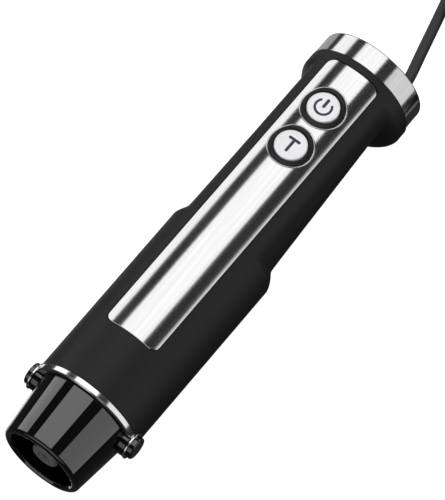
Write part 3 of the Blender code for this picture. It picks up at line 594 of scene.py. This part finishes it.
for side, word in ((-1, "left"), (1, "right")):
    along = side * np.array([19.0, 19.0, 17.0, 17.0, 27.0, 27.0, 30.8, 30.8])
    radius = np.array([0, 4.4, 4.4, 6.5, 6.5, 5.6, 5.6, 0])
    button = turned(f"release_{word}", lathe_to_axis(np.stack((along, radius), 1), (0, .1, .2, .3, .5, .2, .9, 0)),
                    gloss_black, "X", (0, RELEASE_AT, 0), 96, False, body=f"release_button_{word}")
    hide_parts(f"release_button_{word}")

# ---------------------------------------------------------------------------------------------- front buttons
# Satin silver caps on stems, each in a satin-black bezel that follows the panel's round and has a thin chromed
# edge. The symbols are a thin layer of dark violet ink, printed proud of the cap.

# Satin silver: metallic lacquer over ABS, pale and even, with fine flake.
satin_silver = grained("satin_silver_lacquer", "#eeeef2", "#f8f8fb", (0.3, 0.4), 0.25, 0.002, Metallic=0.25)
# Pad-printed ink: dark violet and slightly glossy.
violet_ink = grained("violet_print", "#1f1c33", "#2c2748", (0.35, 0.45), 0.3, 0.002)
# Bezel ABS: the same black, spark-eroded to a satin.
satin_black = grained("satin_black_abs", "#0b0b0b", "#101010", (0.34, 0.44), 0.3, 0.002, Specular_IOR_Level=0.3)
CAP_RADIUS, CAP_TOP = 7.8, 28.8


def cap_height(distance):
    """Height of a cap's gently domed face at a distance from its middle: it falls 0.25 mm by the rim, as the
    square of the distance."""
    return CAP_TOP - 0.25 * (distance / CAP_RADIUS) ** 2


def saddle_ring(name, profile, centre_station, material):
    """Ring that lies on the barrel's round: profile gives (distance from its middle, rise above the barrel), and
    each point goes round a circle seen from the front, rising and falling with the barrel."""
    swing = np.linspace(0, 2 * math.pi, 96, endpoint=False)
    x, y = profile[:, :1] * np.cos(swing), profile[:, :1] * np.sin(swing)
    return surface(name, in_frame(x, centre_station + y, barrel_height(x) + profile[:, 1:]), material,
                   rows_close=True)


def stroke(name, points, half_width, centre_station, body):
    """Printed line along points on a cap, 0.07 mm proud of the dome. Its ends are round: nearer an end than the
    half width, it narrows by the root of 1 less (1 less the distance over the half width) squared."""
    line = np.asarray(points, float)
    ahead = unit(np.gradient(line, axis=0))
    square = ahead[:, ::-1] * (1, -1)
    run = np.concatenate(([0], np.cumsum(np.linalg.norm(np.diff(line, axis=0), axis=1))))
    end = np.minimum(run, run[-1] - run)
    width = half_width * np.sqrt(1 - np.clip(1 - end / half_width, 0, 1) ** 2 + 1e-4)
    swing = np.linspace(0, 2 * math.pi, 12, endpoint=False)
    across = width[:, None] * np.cos(swing)
    x = line[:, :1] + square[:, :1] * across
    y = line[:, 1:] + square[:, 1:] * across
    height = cap_height(np.hypot(x, y)) + 0.07 * np.sign(np.sin(swing)) * np.abs(np.sin(swing)) ** 0.4
    made = surface(name, in_frame(x, centre_station + y, height), violet_ink, body=body, sharp=50)


for word, centre_station in BUTTON_AT.items():
    body = f"{word}_button"
    dome = np.linspace(0, CAP_RADIUS - 0.5, 8)
    edge = CAP_RADIUS - 0.5 + 0.5 * np.sin(bend)
    rim = cap_height(CAP_RADIUS - 0.5) - 0.5 * (1 - np.cos(bend))
    profile = np.concatenate((np.stack((cap_height(dome), dome), 1), np.stack((rim, edge), 1)[1:],
                              [(24.0, CAP_RADIUS), (24.0, 6.6), (24.6, 6.5), (24.6, 2.1), (24.5, 2.0),
                               (15.2, 2.0), (15.2, 0)]))
    cap = turned(f"{word}_cap", profile, satin_silver, "Z", (0, centre_station, 0), 96, False, body=body)
    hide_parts(body)

    bezel = saddle_ring(f"{word}_bezel", rounded(
        [(CAP_RADIUS + 0.3, -5.5), (CAP_RADIUS + 0.3, -0.1), (CAP_RADIUS + 1.0, 0.5), (10.6, 0.45), (10.6, -5.5)],
        (0.2, 0.15, 0.4, 0.45, 0.2), 6), centre_station, satin_black)
    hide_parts(f"{word}_button_bezel")
    trim = saddle_ring(f"{word}_bezel_trim", rounded(
        [(10.65, -1.4), (10.65, 0.22), (11.05, 0.22), (11.05, -1.4)], (0.05, 0.16, 0.16, 0.05), 5),
        centre_station, chrome)

open_arc = np.radians(np.linspace(132, 408, 72))
stroke("power_mark_ring", 4.0 * np.stack((np.cos(open_arc), np.sin(open_arc)), 1), 0.6,
       BUTTON_AT["power"], "power_button")
upright = np.linspace(0, 1, 24)[:, None]
stroke("power_mark_bar", (0, -0.6) + (0, 5.4) * upright, 0.76, BUTTON_AT["power"], "power_button")
stroke("turbo_mark_stem", (0, -4.3) + (0, 6.9) * upright, 0.74, BUTTON_AT["turbo"], "turbo_button")
stroke("turbo_mark_bar", (-3.3, 3.0) + (6.6, 0) * upright, 0.74, BUTTON_AT["turbo"], "turbo_button")

# ---------------------------------------------------------------------------------------------- top band and cap
# A stainless band, rolled over at its top edge, wraps the end of the housing. A gloss-black cap closes it, with a
# round well that the strain relief comes out of.

BAND_FROM, BAND_TO = span("top_band")[0][1], span("top_band")[1][1]
band = turned("steel_top_band", rounded(
    [(BAND_FROM, 26.2), (BAND_FROM, 27.7), (BAND_TO, 27.7), (BAND_TO, 25.9), (BAND_TO - 1.4, 25.5),
     (BAND_TO - 1.4, 26.2)], (0.15, 0.2, 0.9, 0.15, 0.1, 0.1), 8), brushed_steel, segments=240)
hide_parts("top_band")
end_cap = turned("end_cap", lathe_to_axis(
    [(239.6, 0), (239.6, 22.3), (232.6, 22.3), (232.6, 24.4), (237.4, 24.4), (237.4, 25.8), (246.6, 25.8),
     (247.4, 25.1), (248.2, 24.4), (248.6, 16), (248.8, 0)], (0, .4, .2, .2, .2, .2, .4, .3, 1, 3, 0)),
    gloss_black, segments=192, rows_close=False)
carve(end_cap, turned("well", lathe_to_axis([(241.5, 0), (241.5, 8), (248.3, 8), (249.6, 9.4), (256, 9.4), (256, 0)],
                                            (0, .5, .3, .3, .1, 0)), None, "Y", (CORD_X, 0, CORD_HEIGHT), 96, False,
                      body=None))
carve(end_cap, bore("way", 225, 262, 4.6, "Y", (CORD_X, 0, CORD_HEIGHT), 64))
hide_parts("top_cap")

# ---------------------------------------------------------------------------------------------- drive coupling
# Glass-filled nylon coupling pressed onto the motor shaft. It turns the blending leg by a cross-shaped slot in
# its end.

# Glass-filled nylon: mid grey and matt, mottled by fibres near the surface.
grey_nylon = grained("glass_filled_nylon", "#7c7c7d", "#a2a2a3", (0.45, 0.6), 0.9, 0.03)
coupling = turned("shaft_coupling", lathe_to_axis(
    [(3.5, 0), (3.5, 3.2), (2.7, 3.5), (2.7, 6.1), (3.6, 7.0), (24, 7.0), (24, 0)], (0, .2, .2, .3, .5, .3, 0)),
    grey_nylon, segments=96, rows_close=False, body="rotor")
# The slot: one arm's end and the corner beside it, turned three times by a quarter.
SLOT_REACH, SLOT_HALF = 2.6, 0.6
quarter = np.array([(SLOT_REACH, -SLOT_HALF), (SLOT_REACH, SLOT_HALF), (SLOT_HALF, SLOT_HALF)])
across, up = quarter.T
plus = np.concatenate([np.stack(pair, -1) for pair in ((across, up), (-up, across), (-across, -up), (up, -across))])
slot_ends = np.array([[1.0], [6.0]])
carve(coupling, surface("slot", in_frame(plus[:, 0] + 0 * slot_ends, slot_ends, plus[:, 1] + 0 * slot_ends), None,
                        body=None))
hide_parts("drive_coupling")

# ---------------------------------------------------------------------------------------------- inside
# The parts inside keep their shapes from the frame. Each gets the finish of what it is made of.


def layered(name, first, second, pitch, axis, roughness, **shader):
    """Material of stacked or wound layers: a wave with a pitch in millimetres along an axis, roughened by noise,
    moves between two colours and raises each layer by a fifth of the pitch."""
    made = bpy.data.materials.new(name)
    made.use_nodes = True
    made.node_tree.nodes.clear()
    place = add(made, "ShaderNodeTexCoord").outputs["Object"]
    wave = add(made, "ShaderNodeTexWave", {"Vector": place, "Scale": 0.314 / (pitch * MM), "Distortion": 0.4},
               bands_direction=axis)
    colour = add(made, "ShaderNodeMix", {0: wave.outputs["Fac"], 6: linear(first), 7: linear(second)},
                 data_type="RGBA")
    bump = add(made, "ShaderNodeBump", {"Height": wave.outputs["Fac"], "Distance": 0.2 * pitch * MM})
    shade = add(made, "ShaderNodeBsdfPrincipled", {
        "Base Color": colour.outputs[2], "Normal": bump.outputs[0], "Roughness": roughness, **shader})
    add(made, "ShaderNodeOutputMaterial", {0: shade.outputs[0]})
    return made


# Enamelled copper wire, 0.5 mm thick, wound flat: warm brown-red with a varnish gloss.
winding = layered("enamelled_copper_wire", "#5a2612", "#a85a30", 0.5, "X", 0.3, Metallic=0.8)
# Electrical steel in 0.5 mm sheets: dark grey edges with thin dull lines between them.
laminations = layered("stacked_iron_sheets", "#3b3b3d", "#6b6b6e", 1.0, "Y", 0.45, Metallic=0.9)
# Drawn and plated steel: springs, screws, shaft and bearings.
drawn_steel = grained("drawn_spring_steel", "#8f8f92", "#b4b4b6", (0.25, 0.38), 0.4, 0.004, (3, 1, 3), Metallic=1.0)
# Glass-filled nylon left its own pale colour: matt and slightly mottled.
frame_nylon = grained("natural_nylon", "#9a988f", "#b3b1a8", (0.45, 0.6), 1.2, 0.03)
# Solder mask over glass-epoxy board: green and glossy, with the weave just showing.
solder_mask = grained("green_solder_mask", "#12401f", "#1d5a2c", (0.2, 0.35), 0.6, 0.01)
# Pressed graphite: grey-black with a metallic glint on its grain.
graphite = grained("pressed_graphite", "#17171a", "#2c2c30", (0.35, 0.5), 0.25, 0.02, Metallic=0.3)
# Drawn brass: yellow and slightly dulled.
drawn_brass = grained("drawn_brass", "#9a7430", "#bf9647", (0.25, 0.4), 0.5, 0.004, Metallic=1.0)
# Pressed aluminium of the heat sink.
pressed_aluminium = grained("pressed_aluminium", "#9b9da0", "#b9bbbd", (0.3, 0.45), 0.5, 0.004, Metallic=1.0)

FINISH = {"copper": winding, "iron": laminations, "spring_steel": drawn_steel, "chassis": frame_nylon,
          "circuit_board": solder_mask, "carbon": graphite, "brass": drawn_brass, "rubber": sleeve_rubber,
          "cord_jacket": cord_jacket, "brushed_steel": pressed_aluminium, "soft_touch": soft_touch,
          "gloss_black": gloss_black, "chrome": chrome, "silver_button": satin_silver, "grey_nylon": grey_nylon}
slots = {part["node"]: part["material_slot"] for part in frame["record"]["subparts"]}
for node, piece in frame["nodes"].items():
    piece.data.materials.clear()
    piece.data.materials.append(FINISH[slots[node]])

# ---------------------------------------------------------------------------------------------- springs
# Compression springs of music wire behind the four buttons, coiled cold with their end turns closed. Each sits on
# the fixed side and has its pressed length, so that there is room for the button to travel.


def spring(node, low, high, radius, wire, wound, axis, centre):
    """Round wire along a helix: at a share u of its turns it has turned by two pi times the turns times u, and it
    climbs evenly from u of 0.14 to u of 0.86, with a flat turn before and after."""
    share = np.linspace(0, 1, wound * 28 + 1)
    turn = 2 * math.pi * wound * share
    flat = 0.14
    climb = np.clip((share - flat) / (1 - 2 * flat), 0, 1)
    line = np.stack((radius * np.cos(turn), radius * np.sin(turn), low + wire + (high - low - 2 * wire) * climb), -1)
    grid = swept(line, circle(wire, 10))[..., [0, 1, 2] if axis == "Z" else [2, 0, 1]]
    made = surface(f"wound_{node}", in_frame(*(grid + centre).transpose(2, 0, 1)), drawn_steel)
    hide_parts(node)


for word, centre_station in BUTTON_AT.items():
    spring(f"{word}_button_spring", 17.9, 23.3, 4.6, 0.45, 3, "Z", (0, centre_station, 0))
spring("release_spring_right", 9.9, 16.4, 3.4, 0.5, 4, "X", (0, RELEASE_AT, 0))
spring("release_spring_left", -16.4, -9.9, 3.4, 0.5, 4, "X", (0, RELEASE_AT, 0))

# ---------------------------------------------------------------------------------------------- table and lights
# A white table that glows a little, three long softboxes side by side over the body, two dimmer panels low on its
# left, and a fill beyond each end.


def panel_light(name, low, high, start, stop, brightness, near=1.4, far=1.4):
    """Glowing panel bent about the body's axis: angles low to high, and y from start, at a distance of near, to
    stop, at a distance of far."""
    columns = 25
    angle = np.radians(np.linspace(low, high, columns))
    y, distance = np.array([[start], [stop]]), np.array([[near], [far]])
    grid = np.stack((distance * np.sin(angle) + 0 * y, y + 0 * angle, AXIS_Z + distance * np.cos(angle) + 0 * y), -1)
    index = np.arange(2 * columns).reshape(2, columns)
    faces = np.stack((index[0, :-1], index[0, 1:], index[1, 1:], index[1, :-1]), -1)
    data = bpy.data.meshes.new(name)
    data.from_pydata(grid.reshape(-1, 3).tolist(), [], faces.tolist())
    glow = bpy.data.materials.new(name)
    glow.use_nodes = True
    glow.node_tree.nodes.clear()
    lamp = add(glow, "ShaderNodeEmission", {"Color": (1, 1, 1, 1), "Strength": brightness})
    add(glow, "ShaderNodeOutputMaterial", {0: lamp.outputs[0]})
    data.materials.append(glow)
    made = bpy.data.objects.new(name, data)
    bpy.context.scene.collection.objects.link(made)
    made.visible_camera = False
    made.visible_shadow = False


panel_light("left_softbox", -90, -57, -0.35, 1.3, 1.6)
panel_light("left_edge_light", -166, -130, -0.35, 0.52, 1.0)
panel_light("left_top_fill", -150, -106, 0.56, 1.3, 0.5)
panel_light("middle_softbox", -35.5, 16, -0.35, 1.3, 1.7)
panel_light("right_softbox", 41, 103, -0.35, 1.3, 1.08)
panel_light("front_fill", -88, 78, -1.25, -1.0, 0.8, near=0.15, far=0.9)
panel_light("rear_fill", -75, 75, 1.7, 1.5, 1.4, near=0.15, far=0.9)

floor = bpy.data.objects.new("table", bpy.data.meshes.new("table"))
REACH = 6
floor.data.from_pydata([(-REACH, -REACH, 0), (REACH, -REACH, 0), (REACH, REACH, 0), (-REACH, REACH, 0)], [],
                       [(0, 1, 2, 3)])
bpy.context.scene.collection.objects.link(floor)
paper = bpy.data.materials.new("white_table")
paper.use_nodes = True
paper.node_tree.nodes.clear()
shade = add(paper, "ShaderNodeBsdfPrincipled", {"Base Color": linear("#f4f4f4"), "Roughness": 0.9,
                                                "Emission Color": (1, 1, 1, 1), "Emission Strength": 0.88})
add(paper, "ShaderNodeOutputMaterial", {0: shade.outputs[0]})
floor.data.materials.append(paper)
floor.visible_glossy = floor.visible_diffuse = floor.visible_shadow = False

world = bpy.data.worlds.new("dim_studio")
world.use_nodes = True
world.node_tree.nodes["Background"].inputs[0].default_value = (1, 1, 1, 1)
world.node_tree.nodes["Background"].inputs[1].default_value = 0.035
bpy.context.scene.world = world
bpy.context.scene.view_settings.view_transform = "Standard"
